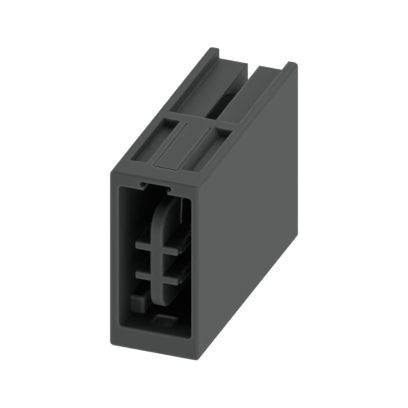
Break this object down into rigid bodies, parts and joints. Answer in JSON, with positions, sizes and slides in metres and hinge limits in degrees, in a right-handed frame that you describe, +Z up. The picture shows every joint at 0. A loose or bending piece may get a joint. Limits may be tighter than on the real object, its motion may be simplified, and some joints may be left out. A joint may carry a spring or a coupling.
{
  "type": "pin header",
  "caption": "Moulded box header housing, open at the front around a cross-shaped tongue, with a roof keyway, a floor latch window, top pockets and an open rear slot.",
  "frame": {"origin": "middle of the flat underside", "axes": "+Z up, -Y out of the mouth that takes the plug, +Y back along the chamber, +X to the right seen from the mouth"},
  "size_m": [0.0102, 0.0296, 0.0211],
  "materials": {
    "housing_plastic": "fine eroded mould texture, dark grey"
  },
  "bodies": {
    "root": {"header_housing": "housing_plastic"}
  },
  "joints": []
}
